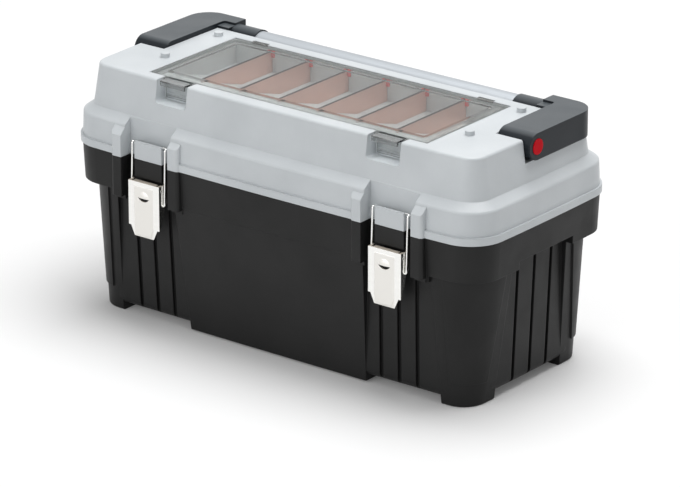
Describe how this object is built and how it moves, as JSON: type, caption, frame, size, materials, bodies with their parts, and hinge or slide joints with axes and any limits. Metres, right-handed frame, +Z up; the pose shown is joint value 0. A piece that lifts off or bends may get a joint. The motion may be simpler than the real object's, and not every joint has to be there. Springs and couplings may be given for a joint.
{
  "type": "tool box",
  "caption": "Lidded plastic tool box with draw latches, a fold-down carrying handle and a divided organiser under a see-through cover in the lid.",
  "frame": {"origin": "on the floor under the middle of the closed box", "axes": "+X along the length to the right seen from the latches, +Y to the hinges at the rear, +Z up"},
  "size_m": [0.55, 0.2594, 0.279],
  "materials": {
    "tub_plastic": "moulded black polypropylene with a fine grain",
    "lid_plastic": "moulded light grey polypropylene with a fine grain",
    "handle_plastic": "moulded dark grey plastic",
    "bar_aluminium": "satin anodised extrusion",
    "pivot_red": "glossy red cap",
    "latch_sheet": "bright nickel plate on pressed sheet",
    "latch_wire": "bright nickel plated wire",
    "pin_steel": "plain drawn steel",
    "clear_plastic": "smoky transparent polystyrene",
    "divider_red": "translucent red moulding"
  },
  "bodies": {
    "tub": {"tub": "tub_plastic", "latch_rivets": "latch_sheet", "latch_base_left": "latch_sheet", "latch_pin_left": "latch_sheet", "hinge_pin_left": "pin_steel", "latch_base_right": "latch_sheet", "latch_pin_right": "latch_sheet", "hinge_pin_right": "pin_steel"},
    "lid": {"lid_shell": "lid_plastic", "handle_pivot_pin_left": "pivot_red", "cover_pin_left": "pin_steel", "handle_pivot_pin_right": "pivot_red", "cover_pin_right": "pin_steel", "divider_1": "divider_red", "divider_2": "divider_red", "divider_3": "divider_red", "divider_4": "divider_red", "divider_5": "divider_red", "divider_6": "divider_red"},
    "handle": {"handle_arm_left": "handle_plastic", "handle_arm_right": "handle_plastic", "handle_bar": "bar_aluminium"},
    "cover": {"organiser_cover": "clear_plastic"},
    "clip_left": {"cover_clip_left": "clear_plastic"},
    "clip_right": {"cover_clip_right": "clear_plastic"},
    "lever_left": {"latch_lever_left": "latch_sheet"},
    "lever_right": {"latch_lever_right": "latch_sheet"},
    "bail_left": {"latch_bail_left": "latch_wire"},
    "bail_right": {"latch_bail_right": "latch_wire"}
  },
  "joints": [
    {"name": "lid_hinge", "type": "hinge", "parent": "tub", "child": "lid", "pos_m": [0, 0.1247, 0.187], "axis": [-1, 0, 0], "range_deg": [0, 100]},
    {"name": "handle_swing", "type": "hinge", "parent": "lid", "child": "handle", "pos_m": [0, -0.0055, 0.2645], "axis": [1, 0, 0], "range_deg": [0, 90]},
    {"name": "cover_hinge", "type": "hinge", "parent": "lid", "child": "cover", "pos_m": [0, 0.0585, 0.2724], "axis": [-1, 0, 0], "range_deg": [0, 105]},
    {"name": "clip_left_flip", "type": "hinge", "parent": "cover", "child": "clip_left", "pos_m": [-0.14, -0.092, 0.2716], "axis": [-1, 0, 0], "range_deg": [0, 50]},
    {"name": "clip_right_flip", "type": "hinge", "parent": "cover", "child": "clip_right", "pos_m": [0.14, -0.092, 0.2716], "axis": [-1, 0, 0], "range_deg": [0, 50]},
    {"name": "latch_left_lever", "type": "hinge", "parent": "tub", "child": "lever_left", "pos_m": [-0.16, -0.124, 0.1595], "axis": [-1, 0, 0], "range_deg": [0, 90]},
    {"name": "latch_left_bail", "type": "hinge", "parent": "lever_left", "child": "bail_left", "pos_m": [-0.16, -0.121, 0.142], "axis": [1, 0, 0], "range_deg": [0, 75]},
    {"name": "latch_right_lever", "type": "hinge", "parent": "tub", "child": "lever_right", "pos_m": [0.16, -0.124, 0.1595], "axis": [-1, 0, 0], "range_deg": [0, 90]},
    {"name": "latch_right_bail", "type": "hinge", "parent": "lever_right", "child": "bail_right", "pos_m": [0.16, -0.121, 0.142], "axis": [1, 0, 0], "range_deg": [0, 75]}
  ],
  "couplings": [
    {"joint": "latch_left_bail", "follows": "latch_left_lever", "ratio": 0.765},
    {"joint": "latch_right_bail", "follows": "latch_right_lever", "ratio": 0.765}
  ]
}
